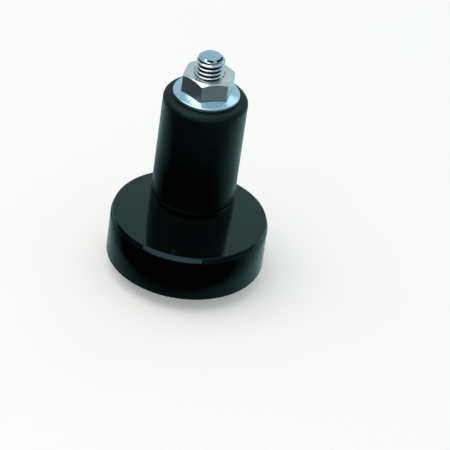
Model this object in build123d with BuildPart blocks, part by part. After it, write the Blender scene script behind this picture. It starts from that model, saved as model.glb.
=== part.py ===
from build123d import *
import os
from math import radians, tan

# Bar end weight for a handlebar tube, in millimetres. It stands on its front face:
# z = 0 is the flat ring of that face, and +Z is the axis, towards the nut.

# Weight: a disc with a conical front face and a spigot behind it, turned in one piece
rim_diameter = 34.0
rim_width = 10.6  # the disc's side, from its front edge to its back face
crown_height = 3.4  # how far the conical face stands out past the front edge
land_width = 0.73  # flat ring in the middle of the face, round the countersink
front_edge_bevel = 0.4
back_bevel_height = 1.2  # bevel round the back edge, along the axis
back_bevel_depth = 0.45  # the same bevel, along the radius
spigot_diameter = 18.2
spigot_length = 6.2
spigot_edge = 0.3
mouth_bevel = 0.25  # round the screw's countersink

# Sleeve: plain rubber tube that swells in the bar when the nut squeezes it
sleeve_diameter = 18.0
sleeve_length = 24.1
sleeve_top_radius = 1.3
sleeve_bottom_bevel = 0.4

# Screw: M6 with a countersunk head
thread_diameter = 6.0
thread_end_diameter = 4.2  # flat end of the thread, inside its chamfer
thread_stand_out = 4.1  # how far the thread stands out of the nut
head_diameter = 12.0
head_angle = 90.0
head_side_height = 0.6  # short straight side above the head's cone
head_edge_bevel = 0.15
head_recess = 0.6  # how deep the head's face lies under the flat ring
key_width = 4.0
key_depth = 2.5
key_mouth = 0.3  # chamfer round the mouth of the key's socket, past its corners
key_point_angle = 120.0  # cone that the drill leaves at the socket's bottom

# Nut: M6 hexagon nut with a conical flange
nut_width = 10.0  # across the flats
nut_height = 5.7
nut_corner_radius = 0.4
nut_face_diameter = 9.5  # flat top inside the corner chamfer
nut_chamfer_slope = 30.0
nut_mouth_diameter = 6.8  # countersink at each end of the thread
nut_turn = 20.0
flange_diameter = 14.2
flange_edge_height = 0.9
flange_slope = 16.0
flange_edge_bevel = 0.25

# Fits, all on the radius
seat_clearance = 0.02  # the head's cone in its countersink
hole_clearance = 0.3  # the screw in the weight
sleeve_clearance = 0.2  # the screw in the sleeve
thread_clearance = 0.05  # the screw in the nut

# Heights along the axis
disc_top = crown_height + rim_width
spigot_top = disc_top + spigot_length
sleeve_top = spigot_top + sleeve_length
nut_top = sleeve_top + nut_height
screw_top = nut_top + thread_stand_out

# Radii and slopes that several pieces share
thread_radius = thread_diameter / 2
head_radius = head_diameter / 2
head_flare = tan(radians(head_angle / 2))


def corner(section, radius, height):
    """The corner of a section that lies nearest to a place."""
    return section.vertices().sort_by_distance((radius, height))[0]


# Weight, with a countersink that the screw's head sinks into
hole_radius = thread_radius + hole_clearance
mouth_radius = head_radius + seat_clearance + (head_recess + head_side_height) * head_flare
countersink_depth = (mouth_radius - hole_radius) / head_flare
land_radius = mouth_radius + mouth_bevel + land_width

with BuildPart() as end_weight:
    with BuildSketch(Plane.XZ) as weight_section:
        with BuildLine():
            Polyline(
                (hole_radius, countersink_depth),
                (mouth_radius, 0),
                (land_radius, 0),
                (rim_diameter / 2, crown_height),
                (rim_diameter / 2, disc_top - back_bevel_height),
                (rim_diameter / 2 - back_bevel_depth, disc_top),
                (spigot_diameter / 2, disc_top),
                (spigot_diameter / 2, spigot_top),
                (hole_radius, spigot_top),
                close=True,
            )
        make_face()
        chamfer(corner(weight_section, rim_diameter / 2, crown_height), front_edge_bevel)
        chamfer(corner(weight_section, mouth_radius, 0), mouth_bevel)
        chamfer(corner(weight_section, spigot_diameter / 2, spigot_top), spigot_edge)
    revolve(axis=Axis.Z)

# Sleeve, between the spigot's end and the nut
sleeve_bore_radius = thread_radius + sleeve_clearance

with BuildPart() as expander_sleeve:
    with BuildSketch(Plane.XZ) as sleeve_section:
        with BuildLine():
            Polyline(
                (sleeve_bore_radius, spigot_top),
                (sleeve_diameter / 2, spigot_top),
                (sleeve_diameter / 2, sleeve_top),
                (sleeve_bore_radius, sleeve_top),
                close=True,
            )
        make_face()
        chamfer(corner(sleeve_section, sleeve_diameter / 2, spigot_top), sleeve_bottom_bevel)
        fillet(corner(sleeve_section, sleeve_diameter / 2, sleeve_top), sleeve_top_radius)
    revolve(axis=Axis.Z)

# Screw, from the face of its head up to the chamfered end of its thread
head_side_top = head_recess + head_side_height
head_cone_top = head_side_top + (head_radius - thread_radius) / head_flare
end_radius = thread_end_diameter / 2
end_chamfer = thread_radius - end_radius
key_bottom = head_recess + key_depth
key_point_height = key_width / 2 / tan(radians(key_point_angle / 2))
mouth_flare = key_width / 2 / (3**0.5 / 2) + key_mouth

with BuildPart() as socket_screw:
    with BuildSketch(Plane.XZ) as screw_section:
        with BuildLine():
            Polyline(
                (0, head_recess),
                (head_radius, head_recess),
                (head_radius, head_side_top),
                (thread_radius, head_cone_top),
                (thread_radius, screw_top - end_chamfer),
                (end_radius, screw_top),
                (0, screw_top),
                close=True,
            )
        make_face()
        chamfer(corner(screw_section, head_radius, head_recess), head_edge_bevel)
    revolve(axis=Axis.Z)
    with BuildSketch(Plane.XY.offset(head_recess)):
        RegularPolygon(key_width / 2, 6, major_radius=False)
    extrude(amount=key_depth, mode=Mode.SUBTRACT)
    # The socket's pointed bottom and its chamfered mouth
    with BuildSketch(Plane.XZ):
        with BuildLine():
            Polyline(
                (0, head_recess),
                (mouth_flare, head_recess),
                (0, head_recess + mouth_flare),
                close=True,
            )
        make_face()
        with BuildLine():
            Polyline(
                (0, key_bottom),
                (key_width / 2, key_bottom),
                (0, key_bottom + key_point_height),
                close=True,
            )
        make_face()
    revolve(axis=Axis.Z, mode=Mode.SUBTRACT)

# Nut: a hexagon with its top corners turned off, on a conical flange
nut_bore_radius = thread_radius + thread_clearance
nut_mouth_depth = nut_mouth_diameter / 2 - nut_bore_radius
blank_radius = nut_width
blank_drop = (blank_radius - nut_face_diameter / 2) * tan(radians(nut_chamfer_slope))
flange_rise = (flange_diameter / 2 - nut_bore_radius) * tan(radians(flange_slope))

with BuildPart() as flange_nut:
    with BuildSketch(Plane.XY.offset(sleeve_top)) as hexagon:
        RegularPolygon(nut_width / 2, 6, major_radius=False, rotation=nut_turn)
        fillet(hexagon.vertices(), nut_corner_radius)
    extrude(amount=nut_height)
    with BuildSketch(Plane.XZ):
        with BuildLine():
            Polyline(
                (0, sleeve_top),
                (blank_radius, sleeve_top),
                (blank_radius, nut_top - blank_drop),
                (nut_face_diameter / 2, nut_top),
                (0, nut_top),
                close=True,
            )
        make_face()
    revolve(axis=Axis.Z, mode=Mode.INTERSECT)
    with BuildSketch(Plane.XZ) as flange_section:
        with BuildLine():
            Polyline(
                (nut_bore_radius, sleeve_top),
                (flange_diameter / 2, sleeve_top),
                (flange_diameter / 2, sleeve_top + flange_edge_height),
                (nut_bore_radius, sleeve_top + flange_edge_height + flange_rise),
                close=True,
            )
        make_face()
        chamfer(corner(flange_section, flange_diameter / 2, sleeve_top), flange_edge_bevel)
        chamfer(
            corner(flange_section, flange_diameter / 2, sleeve_top + flange_edge_height),
            flange_edge_bevel,
        )
    revolve(axis=Axis.Z)
    with BuildSketch(Plane.XZ):
        with BuildLine():
            Polyline(
                (0, sleeve_top),
                (nut_mouth_diameter / 2, sleeve_top),
                (nut_bore_radius, sleeve_top + nut_mouth_depth),
                (nut_bore_radius, nut_top - nut_mouth_depth),
                (nut_mouth_diameter / 2, nut_top),
                (0, nut_top),
                close=True,
            )
        make_face()
    revolve(axis=Axis.Z, mode=Mode.SUBTRACT)

# Files, one for each piece
os.makedirs("parts", exist_ok=True)
end_weight.part.label = "end_weight"
export_step(end_weight.part, "parts/end_weight.step")
expander_sleeve.part.label = "expander_sleeve"
export_step(expander_sleeve.part, "parts/expander_sleeve.step")
socket_screw.part.label = "socket_screw"
export_step(socket_screw.part, "parts/socket_screw.step")
flange_nut.part.label = "flange_nut"
export_step(flange_nut.part, "parts/flange_nut.step")
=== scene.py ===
from math import ceil, cos, pi, radians, sin, sqrt, tan

import bmesh
import bpy
from mathutils import Matrix, Vector


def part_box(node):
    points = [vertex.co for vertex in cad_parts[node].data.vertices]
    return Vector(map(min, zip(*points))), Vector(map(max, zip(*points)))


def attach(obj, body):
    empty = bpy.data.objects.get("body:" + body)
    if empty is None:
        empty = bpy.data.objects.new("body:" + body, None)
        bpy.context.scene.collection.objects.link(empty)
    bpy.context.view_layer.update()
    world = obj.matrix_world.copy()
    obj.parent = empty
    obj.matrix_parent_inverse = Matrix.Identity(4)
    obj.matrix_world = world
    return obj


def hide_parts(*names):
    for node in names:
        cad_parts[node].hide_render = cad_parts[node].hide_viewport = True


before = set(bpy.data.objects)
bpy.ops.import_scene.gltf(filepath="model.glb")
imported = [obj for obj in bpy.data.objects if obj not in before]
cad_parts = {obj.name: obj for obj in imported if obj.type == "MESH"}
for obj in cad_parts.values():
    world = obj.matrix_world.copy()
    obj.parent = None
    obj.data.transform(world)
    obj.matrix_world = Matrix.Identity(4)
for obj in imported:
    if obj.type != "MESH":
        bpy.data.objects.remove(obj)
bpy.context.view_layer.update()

# Bar end weight for a handlebar: enamelled disc with a spigot, rubber sleeve, M6 screw and
# flange nut. Blender works in metres, and the sizes below are in millimetres.
MM = 0.001


def box_mm(node):
    """Lowest and highest corner of a solid, in millimetres."""
    low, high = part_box(node)
    return low / MM, high / MM


weight_high = box_mm("end_weight")[1]
sleeve_low, sleeve_high = box_mm("expander_sleeve")
screw_low, screw_high = box_mm("socket_screw")
nut_low, nut_high = box_mm("flange_nut")

# Weight, upwards from its conical front face
rim_radius = weight_high.x
crown_height = 3.4  # the cone stands out this far past the rim's front edge
rim_width = 10.6
disc_top = crown_height + rim_width  # the flat back face
land_radius = 8.2  # outer edge of the flat ring that the weight stands on
countersink_radius = 7.22
hole_radius = 3.3
back_bevel_height = 1.2
back_bevel_depth = 0.45
spigot_radius = 9.1

# Sleeve
sleeve_bore_radius = 3.2
sleeve_top_fillet = 1.3
sleeve_bottom_fillet = 0.45

# Screw and its hexagon socket
head_radius = screw_high.x
head_side_height = 0.6
head_side_top = screw_low.z + head_side_height  # where the head's cone starts
key_radius = 2.0  # to the flats
key_depth = 2.5
key_bottom = screw_low.z + key_depth
key_point_height = 1.15  # the drilled cone at the socket's bottom
key_mouth_radius = 2.61

# M6 thread, 1 mm pitch, on the screw and in the nut
pitch = 1.0
thread_radius = 3.0
thread_depth = 0.613
thread_end_radius = 2.1
thread_length = 24.0
thread_low = screw_high.z - thread_length
thread_play = 0.04  # between the screw's thread and the nut's
thread_turn = -0.2  # turns of the helix at height 0
crest_share = 0.05  # where the tooth's side starts and ends, in pitches from its crest
root_share = 0.48
run_out_slope = 0.8  # how fast the screw's groove deepens from the plain shank

# Nut
flange_radius = nut_high.x
flange_edge_height = 0.9
flange_slope = radians(16)
nut_flat_radius = 5.0
nut_corner_fillet = 0.4
nut_face_radius = 4.75
nut_chamfer_slope = radians(30)
nut_mouth_radius = 3.4
nut_turn = radians(20)

# How finely round forms are divided
LATHE_STEPS = 288
HEXAGON_STEPS = 360
SCREW_STEPS = 120
THREAD_ROWS = 16  # across one pitch
ARC_STEPS = 6
SHARP_EDGE = radians(40)  # an edge that turns further than this isn't shaded smooth
WELD = 0.0015  # points nearer than this become one


def rounded(corners):
    """The section through corners, each (radius, height, fillet), with its fillets as arcs."""
    points = [Vector(corner[:2]) for corner in corners]
    section = [points[0]]
    for before, here, after, (_, _, fillet) in zip(points, points[1:], points[2:], corners[1:]):
        back, on = before - here, after - here
        if fillet == 0 or min(back.length, on.length) < WELD:
            section.append(here)
            continue
        half = back.angle(on) / 2
        middle = (back.normalized() + on.normalized()).normalized()
        centre = here + middle * fillet / sin(half)
        start = here + back.normalized() * fillet / tan(half)
        end = here + on.normalized() * fillet / tan(half)
        for step in range(ARC_STEPS + 1):
            on_chord = start.lerp(end, step / ARC_STEPS)
            section.append(centre + (on_chord - centre).normalized() * fillet)
    section.append(points[-1])
    return section


def turned(name, section_at, steps):
    """A mesh round the Z axis. section_at(angle) gives its section at that angle."""
    points, faces = [], []
    for step in range(steps):
        angle = 2 * pi * step / steps
        section = section_at(angle)
        points += [(r * cos(angle) * MM, r * sin(angle) * MM, z * MM) for r, z in section]
        here, there = step * len(section), (step + 1) % steps * len(section)
        faces += [
            (here + i, there + i, there + i + 1, here + i + 1) for i in range(len(section) - 1)
        ]
    mesh = bpy.data.meshes.new(name)
    mesh.from_pydata(points, [], faces)
    return mesh


def across_hexagon(angle, flat_radius, fillet=0.0):
    """How far a hexagon's side is from its axis, with a corner at angle 0."""
    from_corner = abs((angle + pi / 6) % (pi / 3) - pi / 6)
    corner_centre = (flat_radius - fillet) / cos(pi / 6)
    if corner_centre * sin(from_corner) < fillet * sin(pi / 6):
        along = corner_centre * cos(from_corner)
        return along + sqrt(fillet**2 - (corner_centre * sin(from_corner)) ** 2)
    return flat_radius / cos(pi / 6 - from_corner)


def piece(name, node, material, meshes):
    """One closed, welded object from its meshes. It stands for a CAD node."""
    shell = bmesh.new()
    for mesh in meshes:
        shell.from_mesh(mesh)
    bmesh.ops.remove_doubles(shell, verts=shell.verts, dist=WELD * MM)
    bmesh.ops.dissolve_degenerate(shell, edges=shell.edges, dist=WELD * MM / 10)
    bmesh.ops.recalc_face_normals(shell, faces=shell.faces)
    mesh = bpy.data.meshes.new(name)
    shell.to_mesh(mesh)
    shell.free()
    mesh.shade_smooth()
    mesh.set_sharp_from_angle(angle=SHARP_EDGE)
    mesh.materials.clear()
    mesh.materials.append(material)
    made = bpy.data.objects.new(name, mesh)
    bpy.context.scene.collection.objects.link(made)
    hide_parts(node)
    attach(made, "root")


def add_node(tree, kind, inputs, **settings):
    """Adds a node with its settings. An input is a value, an output of another node, or
    another node, which stands for its first output."""
    node = tree.nodes.new(kind)
    for name, value in settings.items():
        setattr(node, name, value)
    for name, value in inputs.items():
        if isinstance(value, bpy.types.Node):
            value = value.outputs[0]
        if isinstance(value, bpy.types.NodeSocket):
            tree.links.new(value, node.inputs[name])
        else:
            node.inputs[name].default_value = value
    return node


# Finishes, with their patterns' sizes in millimetres
def linear(hex_code):
    """An sRGB hex colour as linear RGBA."""
    shades = [int(hex_code[i : i + 2], 16) / 255 for i in (1, 3, 5)]
    return [s / 12.92 if s <= 0.04045 else ((s + 0.055) / 1.055) ** 2.4 for s in shades] + [1.0]


def new_finish(name):
    """An empty material with its nodes, and where its patterns are measured."""
    finish = bpy.data.materials.new(name)
    finish.use_nodes = True
    tree = finish.node_tree
    tree.nodes.clear()
    place = add_node(tree, "ShaderNodeTexCoord", {}).outputs["Object"]
    return finish, tree, place


def per_metre(size_mm):
    """Noise scale for features of that size."""
    return 1 / (size_mm * MM)


MIX_A, MIX_B, MIX_RESULT = 6, 7, 2  # colour sockets of the Mix node
COOL_GLOSS = "#b9f0ee"  # teal tint of what the black pieces mirror


def gloss_enamel():
    """Stoved enamel on turned steel: deep black, a clear cool gloss, faint orange peel."""
    finish, tree, place = new_finish("stoved_enamel_gloss")
    peel = add_node(tree, "ShaderNodeTexNoise", {
        "Vector": place, "Scale": per_metre(1.6), "Detail": 2.0})
    bump = add_node(tree, "ShaderNodeBump", {
        "Height": peel, "Strength": 1.0, "Distance": 0.0015 * MM})
    haze = add_node(tree, "ShaderNodeTexNoise", {
        "Vector": place, "Scale": per_metre(4.0), "Detail": 5.0})
    rough = add_node(tree, "ShaderNodeMapRange", {
        "Value": haze, "From Min": 0.3, "From Max": 0.7, "To Min": 0.035, "To Max": 0.07})
    gloss = add_node(tree, "ShaderNodeBsdfPrincipled", {
        "Base Color": linear("#020303"), "Roughness": rough, "IOR": 1.5,
        "Specular Tint": linear(COOL_GLOSS), "Normal": bump})
    add_node(tree, "ShaderNodeOutputMaterial", {"Surface": gloss})
    return finish


def moulded_rubber():
    """Moulded black rubber: satin, with a cloudy bloom, soft light at its edges and a dull
    rounding at the top. Its grain is drawn coarser than the real one, so that it shows."""
    finish, tree, place = new_finish("moulded_rubber_satin")
    grain = add_node(tree, "ShaderNodeTexNoise", {
        "Vector": place, "Scale": per_metre(0.28), "Detail": 3.0})
    bump = add_node(tree, "ShaderNodeBump", {
        "Height": grain, "Strength": 1.0, "Distance": 0.006 * MM})
    bloom = add_node(tree, "ShaderNodeTexNoise", {
        "Vector": place, "Scale": per_metre(5.0), "Detail": 6.0, "Roughness": 0.6})
    shade = add_node(tree, "ShaderNodeMix", {
        "Factor": bloom, MIX_A: linear("#010202"), MIX_B: linear("#020404")}, data_type="RGBA")
    satin = add_node(tree, "ShaderNodeMapRange", {
        "Value": bloom, "From Min": 0.3, "From Max": 0.7, "To Min": 0.2, "To Max": 0.25})
    height = add_node(tree, "ShaderNodeSeparateXYZ", {"Vector": place}).outputs["Z"]
    dull_from, dull_to = sleeve_high.z - 2.0, sleeve_high.z - 0.7
    dull = add_node(tree, "ShaderNodeMapRange", {
        "Value": height, "From Min": dull_from * MM, "From Max": dull_to * MM,
        "To Min": 0.0, "To Max": 0.26})
    rough = add_node(tree, "ShaderNodeMath", {0: satin, 1: dull}, operation="ADD")
    skin = add_node(tree, "ShaderNodeBsdfPrincipled", {
        "Base Color": shade.outputs[MIX_RESULT], "Roughness": rough, "IOR": 1.42,
        "Specular Tint": linear(COOL_GLOSS), "Normal": bump})
    add_node(tree, "ShaderNodeOutputMaterial", {"Surface": skin})
    return finish


def screw_satin_and_painted_shade(tree, place, height, shade, rough):
    """What the plating's colour and roughness become on the screw: its head is satin, its
    grooves get painted shade, and a painted dark reflection lies in short arcs round its flat
    end."""
    satin_end = head_side_top + 2.0
    satin = add_node(tree, "ShaderNodeMapRange", {
        "Value": height, "From Min": head_side_top * MM, "From Max": satin_end * MM,
        "To Min": 0.2, "To Max": 0.0})
    rough = add_node(tree, "ShaderNodeMath", {0: rough, 1: satin}, operation="ADD")

    # Painted shade in the grooves: how far a place lies under the crests, or under the chamfer
    # at the end. They are left unshaded down to a fifth of their depth, and painted black from
    # three quarters.
    level = add_node(tree, "ShaderNodeVectorMath", {0: place, 1: (1.0, 1.0, 0.0)},
                     operation="MULTIPLY")
    out = add_node(tree, "ShaderNodeVectorMath", {0: level}, operation="LENGTH").outputs["Value"]
    chamfer = add_node(tree, "ShaderNodeMath", {
        0: (screw_high.z + thread_end_radius) * MM, 1: height}, operation="SUBTRACT")
    crest = add_node(tree, "ShaderNodeMath", {0: chamfer, 1: thread_radius * MM},
                     operation="MINIMUM")
    depth = add_node(tree, "ShaderNodeMath", {0: crest, 1: out}, operation="SUBTRACT")
    groove = add_node(tree, "ShaderNodeMapRange", {
        "Value": depth, "From Min": 0.22 * thread_depth * MM,
        "From Max": 0.72 * thread_depth * MM})
    above = add_node(tree, "ShaderNodeMath", {0: height, 1: thread_low * MM},
                     operation="GREATER_THAN")
    below = add_node(tree, "ShaderNodeMath", {0: height, 1: (screw_high.z - 0.1) * MM},
                     operation="LESS_THAN")
    threaded = add_node(tree, "ShaderNodeMath", {0: above, 1: below}, operation="MULTIPLY")
    # painted shade in the grooves, along the threaded length only
    groove_shade = add_node(tree, "ShaderNodeMath", {0: groove, 1: threaded}, operation="MULTIPLY")

    # Painted dark reflection on the chamfer round the flat end: a thin ring just outside it,
    # broken up by patches
    patch = add_node(tree, "ShaderNodeTexNoise", {
        "Vector": place, "Scale": per_metre(1.3), "Detail": 1.0})
    arc = add_node(tree, "ShaderNodeMapRange", {
        "Value": patch, "From Min": 0.46, "From Max": 0.54})
    from_ring = add_node(tree, "ShaderNodeMath", {0: out, 1: (thread_end_radius + 0.15) * MM},
                         operation="SUBTRACT")
    beside = add_node(tree, "ShaderNodeMath", {0: from_ring}, operation="ABSOLUTE")
    ring = add_node(tree, "ShaderNodeMapRange", {
        "Value": beside, "From Min": 0.12 * MM, "From Max": 0.26 * MM,
        "To Min": 1.0, "To Max": 0.0})
    end = add_node(tree, "ShaderNodeMath", {0: height, 1: (screw_high.z - 0.6) * MM},
                   operation="GREATER_THAN")
    arcs = add_node(tree, "ShaderNodeMath", {0: arc, 1: ring}, operation="MULTIPLY")
    end_dark_reflection = add_node(tree, "ShaderNodeMath", {0: arcs, 1: end}, operation="MULTIPLY")

    # Painted shade and painted dark reflection, mixed into the plating's colour as near-black
    painted_dark = add_node(tree, "ShaderNodeMath", {0: groove_shade, 1: end_dark_reflection}, operation="MAXIMUM")
    shade = add_node(tree, "ShaderNodeMix", {
        "Factor": painted_dark, MIX_A: shade.outputs[MIX_RESULT], MIX_B: linear("#0c1011")},
        data_type="RGBA")
    return shade, rough


def passivated_zinc(name, casts, turn, roughness, grain_width, grain_height, with_painted_shade=False):
    """Bright zinc plate, blue passivated: a cool silver with a cloudy cast, which goes from
    the first colour to the second between the two heights of its turn. Its grain is drawn
    coarser than the real one, so that it shows."""
    finish, tree, place = new_finish(name)
    cloud = add_node(tree, "ShaderNodeTexNoise", {
        "Vector": place, "Scale": per_metre(3.0), "Detail": 4.0})
    height = add_node(tree, "ShaderNodeSeparateXYZ", {"Vector": place}).outputs["Z"]
    risen = add_node(tree, "ShaderNodeMapRange", {
        "Value": height, "From Min": turn[0] * MM, "From Max": turn[1] * MM,
        "To Min": -0.8, "To Max": 0.2})
    cast = add_node(tree, "ShaderNodeMath", {0: cloud, 1: 1.6, 2: risen},
                    operation="MULTIPLY_ADD", use_clamp=True)
    shade = add_node(tree, "ShaderNodeMix", {
        "Factor": cast, MIX_A: linear(casts[0]), MIX_B: linear(casts[1])}, data_type="RGBA")
    grain = add_node(tree, "ShaderNodeTexNoise", {
        "Vector": place, "Scale": per_metre(grain_width), "Detail": 4.0, "Roughness": 0.65})
    bump = add_node(tree, "ShaderNodeBump", {
        "Height": grain, "Strength": 1.0, "Distance": grain_height * MM})
    rough = add_node(tree, "ShaderNodeMapRange", {
        "Value": cloud, "From Min": 0.3, "From Max": 0.7,
        "To Min": roughness * 0.85, "To Max": roughness * 1.15})
    # The screw gets painted shade in its grooves and a painted dark reflection round its end
    if with_painted_shade:
        shade, rough = screw_satin_and_painted_shade(tree, place, height, shade, rough)
    plate = add_node(tree, "ShaderNodeBsdfPrincipled", {
        "Base Color": shade.outputs[MIX_RESULT], "Metallic": 1.0, "Roughness": rough,
        "Normal": bump})
    add_node(tree, "ShaderNodeOutputMaterial", {"Surface": plate})
    return finish


enamel = gloss_enamel()
rubber = moulded_rubber()
screw_zinc = passivated_zinc(
    "zinc_plate_screw", casts=("#e9f1f4", "#b6d0df"),
    turn=(screw_high.z - 1.1, screw_high.z - 0.5),
    roughness=0.09, grain_width=0.3, grain_height=0.001, with_painted_shade=True)
nut_zinc = passivated_zinc(
    "zinc_plate_nut", casts=("#bcdaee", "#e3e0e1"),
    turn=(nut_low.z + 1.3, nut_low.z + 2.1),
    roughness=0.19, grain_width=0.4, grain_height=0.0015)


# Thread, grown by geometry nodes as one ribbon a pitch wide, wound up the screw
def thread_tree(name, material, inside):
    """A helical thread between two heights. A cone at its low end holds its radius out. One
    at its high end does so too inside a nut, and holds it in on a screw."""
    tree = bpy.data.node_groups.new(name, "GeometryNodeTree")
    for size in ("Low", "High", "Pitch", "Crest radius", "Depth", "Start turn",
                 "Low radius", "Low slope", "High radius", "High slope"):
        tree.interface.new_socket(size, in_out="INPUT", socket_type="NodeSocketFloat")
    for count in ("Turns", "Steps", "Rows"):
        tree.interface.new_socket(count, in_out="INPUT", socket_type="NodeSocketInt")
    tree.interface.new_socket("Thread", in_out="OUTPUT", socket_type="NodeSocketGeometry")
    given = add_node(tree, "NodeGroupInput", {}).outputs

    points_along = add_node(tree, "ShaderNodeMath", {
        0: given["Turns"], 1: given["Steps"], 2: 1.0}, operation="MULTIPLY_ADD")
    points_across = add_node(tree, "ShaderNodeMath", {0: given["Rows"], 1: 1.0}, operation="ADD")
    ribbon = add_node(tree, "GeometryNodeMeshGrid", {
        "Size X": 1.0, "Size Y": 1.0, "Vertices X": points_along, "Vertices Y": points_across})
    spot = add_node(tree, "GeometryNodeInputPosition", {})
    flat = add_node(tree, "ShaderNodeSeparateXYZ", {"Vector": spot}).outputs
    along = add_node(tree, "ShaderNodeMath", {0: flat["X"], 1: 0.5}, operation="ADD")
    turns = add_node(tree, "ShaderNodeMath", {0: along, 1: given["Turns"]}, operation="MULTIPLY")
    across = add_node(tree, "ShaderNodeMath", {0: flat["Y"], 1: 0.5}, operation="ADD")

    # Height along the helix, held between the thread's two ends
    below_end = add_node(tree, "ShaderNodeMath", {0: turns, 1: 1.0}, operation="SUBTRACT")
    climb = add_node(tree, "ShaderNodeMath", {0: below_end, 1: across}, operation="ADD")
    risen = add_node(tree, "ShaderNodeMath", {0: climb, 1: given["Pitch"], 2: given["Low"]},
                     operation="MULTIPLY_ADD")
    height = add_node(tree, "ShaderNodeClamp", {
        "Value": risen, "Min": given["Low"], "Max": given["High"]})

    # Radius: a rounded tooth, from its crest at both edges of the ribbon to its root
    from_crest = add_node(tree, "ShaderNodeMath", {0: across, 1: 0.5}, operation="PINGPONG")
    side = add_node(tree, "ShaderNodeMapRange", {
        "Value": from_crest, "From Min": crest_share, "From Max": root_share},
        interpolation_type="SMOOTHSTEP")
    drop = add_node(tree, "ShaderNodeMath", {0: side, 1: given["Depth"]}, operation="MULTIPLY")
    tooth = add_node(tree, "ShaderNodeMath", {0: given["Crest radius"], 1: drop},
                     operation="SUBTRACT")
    above = add_node(tree, "ShaderNodeMath", {0: height, 1: given["Low"]}, operation="SUBTRACT")
    below = add_node(tree, "ShaderNodeMath", {0: given["High"], 1: height}, operation="SUBTRACT")
    low_cone = add_node(tree, "ShaderNodeMath", {
        0: above, 1: given["Low slope"], 2: given["Low radius"]}, operation="MULTIPLY_ADD")
    high_cone = add_node(tree, "ShaderNodeMath", {
        0: below, 1: given["High slope"], 2: given["High radius"]}, operation="MULTIPLY_ADD")
    held_low = add_node(tree, "ShaderNodeMath", {0: tooth, 1: low_cone}, operation="MAXIMUM")
    radius = add_node(tree, "ShaderNodeMath", {0: held_low, 1: high_cone},
                      operation="MAXIMUM" if inside else "MINIMUM")

    # Round the axis
    started = add_node(tree, "ShaderNodeMath", {0: turns, 1: given["Start turn"]},
                       operation="ADD")
    angle = add_node(tree, "ShaderNodeMath", {0: started, 1: 2 * pi}, operation="MULTIPLY")
    cosine = add_node(tree, "ShaderNodeMath", {0: angle}, operation="COSINE")
    sine = add_node(tree, "ShaderNodeMath", {0: angle}, operation="SINE")
    x = add_node(tree, "ShaderNodeMath", {0: radius, 1: cosine}, operation="MULTIPLY")
    y = add_node(tree, "ShaderNodeMath", {0: radius, 1: sine}, operation="MULTIPLY")
    place = add_node(tree, "ShaderNodeCombineXYZ", {"X": x, "Y": y, "Z": height})
    wound = add_node(tree, "GeometryNodeSetPosition", {"Geometry": ribbon, "Position": place})
    real = add_node(tree, "GeometryNodeRealizeInstances", {"Geometry": wound})
    plated = add_node(tree, "GeometryNodeSetMaterial", {"Geometry": real, "Material": material})
    add_node(tree, "NodeGroupOutput", {"Thread": plated})
    return tree


def grown(name, tree, sizes):
    """The plain mesh that a tree makes with these sizes."""
    carrier = bpy.data.objects.new(name, bpy.data.meshes.new(name))
    bpy.context.scene.collection.objects.link(carrier)
    modifier = carrier.modifiers.new(name, "NODES")
    modifier.node_group = tree
    for item in tree.interface.items_tree:
        if item.in_out == "INPUT":
            modifier[item.identifier] = sizes[item.name]
    seen = bpy.context.evaluated_depsgraph_get()
    mesh = bpy.data.meshes.new_from_object(carrier.evaluated_get(seen), depsgraph=seen)
    bpy.data.objects.remove(carrier)
    return mesh


def thread(name, material, low, high, crest_radius, ends, steps, inside=False):
    """A thread between two heights. ends gives each end cone's radius and slope. Every thread
    here lies on one helix, so that the nut's follows the screw's."""
    (low_radius, low_slope), (high_radius, high_slope) = ends
    return grown(name, thread_tree(name, material, inside), {
        "Low": low * MM, "High": high * MM, "Pitch": pitch * MM,
        "Crest radius": crest_radius * MM, "Depth": thread_depth * MM,
        "Start turn": thread_turn + low / pitch % 1,
        "Low radius": low_radius * MM, "Low slope": low_slope,
        "High radius": high_radius * MM, "High slope": high_slope,
        "Turns": ceil((high - low) / pitch) + 1, "Steps": steps, "Rows": THREAD_ROWS})


# Weight
countersink_top = countersink_radius - hole_radius
weight_section = rounded([
    (hole_radius, weight_high.z, 0),
    (hole_radius, countersink_top, 0),
    (countersink_radius, 0, 0.2),
    (land_radius, 0, 0.8),
    (rim_radius, crown_height, 0.5),
    (rim_radius, disc_top - back_bevel_height, 1.2),
    (rim_radius - back_bevel_depth, disc_top, 0.12),
    (spigot_radius, disc_top, 0),
    (spigot_radius, weight_high.z, 0.03),
    (hole_radius, weight_high.z, 0),
])
piece("enamelled_weight", "end_weight", enamel, [
    turned("weight", lambda angle: weight_section, LATHE_STEPS)])

# Sleeve
sleeve_section = rounded([
    (sleeve_bore_radius, sleeve_high.z, 0),
    (sleeve_bore_radius, sleeve_low.z, 0),
    (sleeve_high.x, sleeve_low.z, sleeve_bottom_fillet),
    (sleeve_high.x, sleeve_high.z, sleeve_top_fillet),
    (sleeve_bore_radius, sleeve_high.z, 0),
])
piece("rubber_sleeve", "expander_sleeve", rubber, [
    turned("sleeve", lambda angle: sleeve_section, LATHE_STEPS)])


# Screw: head and shank are turned, its socket follows a hexagon, and its thread is wound
def screw_section(angle):
    """From the bottom of the key's socket, over the head, to where the thread starts."""
    wall = across_hexagon(angle, key_radius)
    return rounded([
        (0, key_bottom + key_point_height, 0),
        (key_radius, key_bottom, 0),
        (wall, key_bottom, 0),
        (wall, screw_low.z + key_mouth_radius - wall, 0.08),
        (key_mouth_radius, screw_low.z, 0.06),
        (head_radius, screw_low.z, 0.15),
        (head_radius, head_side_top, 0.1),
        (thread_radius, head_side_top + head_radius - thread_radius, 0.3),
        (thread_radius, thread_low, 0),
    ])


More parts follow.
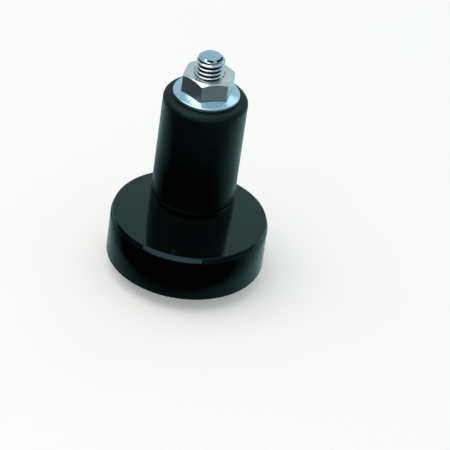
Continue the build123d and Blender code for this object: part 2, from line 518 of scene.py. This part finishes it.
screw_thread = thread(
    "screw_thread", screw_zinc, thread_low, screw_high.z, thread_radius,
    [(thread_radius, -run_out_slope), (thread_end_radius, 1.0)], SCREW_STEPS)
end_section = [(thread_end_radius, screw_high.z), (0, screw_high.z)]
piece("zinc_screw", "socket_screw", screw_zinc, [
    turned("screw_head", screw_section, SCREW_STEPS),
    screw_thread,
    turned("screw_end", lambda angle: end_section, SCREW_STEPS)])


# Nut: a chamfered hexagon on a conical flange, with a thread inside
def nut_section(angle):
    """From the lower mouth of the thread, round the flange and the hexagon, to the upper."""
    side = across_hexagon(angle - nut_turn, nut_flat_radius, nut_corner_fillet)
    flange_top = nut_low.z + flange_edge_height
    return rounded([
        (nut_mouth_radius, nut_low.z, 0),
        (flange_radius, nut_low.z, 0.25),
        (flange_radius, flange_top, 0.3),
        (side, flange_top + (flange_radius - side) * tan(flange_slope), 0.15),
        (side, nut_high.z - (side - nut_face_radius) * tan(nut_chamfer_slope), 0.08),
        (nut_face_radius, nut_high.z, 0.3),
        (nut_mouth_radius, nut_high.z, 0),
    ])


nut_thread = thread(
    "nut_thread", nut_zinc, nut_low.z, nut_high.z, thread_radius + thread_play,
    [(nut_mouth_radius, -1.0), (nut_mouth_radius, -1.0)], HEXAGON_STEPS, inside=True)
piece("zinc_flange_nut", "flange_nut", nut_zinc, [
    turned("nut_skin", nut_section, HEXAGON_STEPS),
    nut_thread])

# Camera: the photograph's view, 450 pixels square, from in front and above, rolled a little
IMAGE_WIDTH = 450
SENSOR_WIDTH = 36.0
camera_distance = 700.0
camera_elevation = radians(34.5)
camera_roll = radians(8.3)
pixels_per_mm = 4.66
back_face_pixel = (189.9, 213.3)  # where the middle of the back face stands

right = Vector((cos(camera_roll), sin(camera_roll) * sin(camera_elevation),
                sin(camera_roll) * cos(camera_elevation)))
ahead = Vector((0, cos(camera_elevation), -sin(camera_elevation)))
up = right.cross(ahead)
rightwards = (back_face_pixel[0] - IMAGE_WIDTH / 2) / pixels_per_mm
downwards = (back_face_pixel[1] - IMAGE_WIDTH / 2) / pixels_per_mm
back_face = Vector((0, 0, disc_top))
viewpoint = back_face - right * rightwards + up * downwards - ahead * camera_distance

lens = bpy.data.cameras.new("photo_camera")
lens.sensor_width = SENSOR_WIDTH
lens.lens = pixels_per_mm * camera_distance * SENSOR_WIDTH / IMAGE_WIDTH
camera = bpy.data.objects.new("photo_camera", lens)
facing = Matrix((right, up, -ahead)).transposed().to_4x4()
camera.matrix_world = Matrix.Translation(viewpoint * MM) @ facing
bpy.context.scene.collection.objects.link(camera)
bpy.context.scene.camera = camera

# Studio: pale floor, soft lamps, bright surroundings behind and dim ones in front
FLOOR_SIZE = 8.0  # metres
PAPER_COLOUR = "#f3e5e2"
PAPER_LIFT = 0.27

# A black sheet that only reflections see, in millimetres: it paints dark reflections into the
# parts. Each row of its edge and its fade starts with a distance from the axis.
SHEET_HEIGHT = 0.1
# teal tint that the sheet paints into the reflections seen through it
SHEET_REFLECTION_TINT = "#d0faff"
SHEET_BACK = (0.19, 1.0, 0.0)  # the way back, a little to the right
SHEET_EDGE = [(0, -40), (22, -28), (25, -23), (27.5, -15), (32, -12), (42, -11), (49, -22),
              (56, -35), (75, -36), (120, 25), (150, 25)]  # where it starts to thin out
SHEET_FADE = [(27, 37), (42, 72)]  # how much further back it is at its thinnest
SHEET_FAR = (60, 75)  # between these distances it thins out all round
SHEET_SIDES = [(-70, 0.06), (50, 0.19)]  # how thin it is there, from left to right
THINNEST = 0.72


def sheet_of(name, size, height, material):
    """A square sheet that lies level under or round the object."""
    mesh = bpy.data.meshes.new(name)
    half = size / 2
    mesh.from_pydata([(-half, -half, height), (half, -half, height), (half, half, height),
                      (-half, half, height)], [], [(0, 1, 2, 3)])
    mesh.materials.append(material)
    sheet = bpy.data.objects.new(name, mesh)
    bpy.context.scene.collection.objects.link(sheet)
    return sheet


def floor_paper():
    """Matt white paper. What the camera sees of it, also in a mirror or through glass, is
    lifted towards white. It keeps its shadow."""
    finish, tree, _ = new_finish("matt_white_paper")
    paper = add_node(tree, "ShaderNodeBsdfDiffuse", {"Color": linear(PAPER_COLOUR)})
    rays = add_node(tree, "ShaderNodeLightPath", {}).outputs
    direct = add_node(tree, "ShaderNodeMath", {
        0: rays["Is Camera Ray"], 1: rays["Is Glossy Ray"]}, operation="ADD")
    seen = add_node(tree, "ShaderNodeMath", {0: direct, 1: rays["Is Transmission Ray"]},
                    operation="ADD", use_clamp=True)
    lift = add_node(tree, "ShaderNodeMath", {0: seen, 1: PAPER_LIFT}, operation="MULTIPLY")
    white = add_node(tree, "ShaderNodeEmission", {"Color": linear("#ffffff"), "Strength": lift})
    both = add_node(tree, "ShaderNodeAddShader", {0: paper, 1: white})
    add_node(tree, "ShaderNodeOutputMaterial", {"Surface": both})
    return finish


def dark_reflection_sheet():
    """A black sheet that only reflections see: painted dark reflection, dense in front of the
    part and see-through behind it, where it tints what shows through.
    """
    finish, tree, place = new_finish("reflection_only_dark_sheet")
    reach = add_node(tree, "ShaderNodeVectorMath", {0: place}, operation="LENGTH")
    reach = reach.outputs["Value"]

    # Where it starts to thin out: a smooth curve through its edge's points
    reaches, starts = zip(*SHEET_EDGE)
    farthest, least, most = max(reaches), min(starts), max(starts)
    share = add_node(tree, "ShaderNodeMapRange", {"Value": reach, "From Max": farthest * MM})
    bent = add_node(tree, "ShaderNodeFloatCurve", {"Value": share})
    curve = bent.mapping.curves[0]
    for _ in SHEET_EDGE[2:]:
        curve.points.new(0.5, 0.5)
    for point, (at, start) in zip(curve.points, SHEET_EDGE):
        point.location = (at / farthest, (start - least) / (most - least))
    bent.mapping.update()
    edge = add_node(tree, "ShaderNodeMapRange", {
        "Value": bent, "To Min": least * MM, "To Max": most * MM})

    # Thin behind that edge, and a little everywhere far from the part
    back = add_node(tree, "ShaderNodeVectorMath", {0: place, 1: SHEET_BACK},
                    operation="DOT_PRODUCT")
    past = add_node(tree, "ShaderNodeMath", {0: back.outputs["Value"], 1: edge},
                    operation="SUBTRACT")
    (fade_from, shortest), (fade_to, longest) = SHEET_FADE
    fade = add_node(tree, "ShaderNodeMapRange", {
        "Value": reach, "From Min": fade_from * MM, "From Max": fade_to * MM,
        "To Min": shortest * MM, "To Max": longest * MM})
    behind = add_node(tree, "ShaderNodeMapRange", {
        "Value": past, "From Min": 0.0, "From Max": fade, "To Min": 0.0, "To Max": THINNEST})
    across = add_node(tree, "ShaderNodeSeparateXYZ", {"Vector": place}).outputs["X"]
    (left, thin_left), (right, thin_right) = SHEET_SIDES
    sideways = add_node(tree, "ShaderNodeMapRange", {
        "Value": across, "From Min": left * MM, "From Max": right * MM,
        "To Min": thin_left, "To Max": thin_right})
    far = add_node(tree, "ShaderNodeMapRange", {
        "Value": reach, "From Min": SHEET_FAR[0] * MM, "From Max": SHEET_FAR[1] * MM},
        interpolation_type="SMOOTHSTEP")
    around = add_node(tree, "ShaderNodeMath", {0: sideways, 1: far}, operation="MULTIPLY")
    thin = add_node(tree, "ShaderNodeMath", {0: behind, 1: around}, operation="MAXIMUM")
    clear = add_node(tree, "ShaderNodeBsdfTransparent", {"Color": linear(SHEET_REFLECTION_TINT)})
    sheet_black = add_node(tree, "ShaderNodeBsdfDiffuse", {"Color": linear("#000000")})
    sheet_surface = add_node(tree, "ShaderNodeMixShader", {0: thin, 1: sheet_black, 2: clear})
    add_node(tree, "ShaderNodeOutputMaterial", {"Surface": sheet_surface})
    return finish


sheet_of("paper_floor", FLOOR_SIZE, 0.0, floor_paper())
reflection_sheet = sheet_of("reflection_only_sheet", FLOOR_SIZE, SHEET_HEIGHT * MM, dark_reflection_sheet())
# Only reflections see the sheet: it paints dark reflections, and the camera, diffuse light and
# shadows pass it by
reflection_sheet.visible_camera = False
reflection_sheet.visible_diffuse = False
reflection_sheet.visible_shadow = False
reflection_sheet.visible_transmission = False

# Soft boxes, which show in reflections but not to the camera: place and size in metres
LAMP_AIM = Vector((0, 0, 0.03))
for name, place, size, watts, colour in [
    ("top_box", (-0.277, -0.134, 0.797), (0.86, 0.66), 2.85, "#ffffff"),
    ("side_box", (0.27, 0.47, 0.53), (0.25, 0.25), 0.12, "#ffffff"),
    ("front_box", (-0.254, -0.884, 0.12), (1.6, 0.16), 1.02, "#ebebff"),
]:
    lamp = bpy.data.lights.new(name, "AREA")
    lamp.shape = "RECTANGLE"
    lamp.size, lamp.size_y = size
    lamp.energy = watts
    lamp.color = linear(colour)[:3]
    soft_box = bpy.data.objects.new(name, lamp)
    soft_box.location = place
    soft_box.rotation_euler = (LAMP_AIM - Vector(place)).to_track_quat("-Z", "Y").to_euler()
    soft_box.visible_camera = False
    bpy.context.scene.collection.objects.link(soft_box)

# Walls: a bright ceiling and back wall, dim elsewhere
WALL_TINT = "#e3fdff"
DIM_GLOW, CEILING_GLOW, BACK_GLOW = 0.05, 0.62, 0.68
world = bpy.data.worlds.new("studio_walls")
bpy.context.scene.world = world
world.use_nodes = True
walls = world.node_tree
walls.nodes.clear()
direction = add_node(walls, "ShaderNodeTexCoord", {}).outputs["Generated"]
direction = add_node(walls, "ShaderNodeSeparateXYZ", {"Vector": direction}).outputs
ceiling = add_node(walls, "ShaderNodeMapRange", {
    "Value": direction["Z"], "From Min": 0.0, "From Max": 0.4,
    "To Min": DIM_GLOW, "To Max": CEILING_GLOW})
back_wall = add_node(walls, "ShaderNodeMapRange", {
    "Value": direction["Y"], "From Min": 0.2, "From Max": 0.7,
    "To Min": DIM_GLOW, "To Max": BACK_GLOW})
glow = add_node(walls, "ShaderNodeMath", {0: ceiling, 1: back_wall}, operation="MAXIMUM")
wall_light = add_node(walls, "ShaderNodeBackground", {
    "Color": linear(WALL_TINT), "Strength": glow})
add_node(walls, "ShaderNodeOutputWorld", {"Surface": wall_light})

bpy.context.scene.view_settings.view_transform = "Standard"
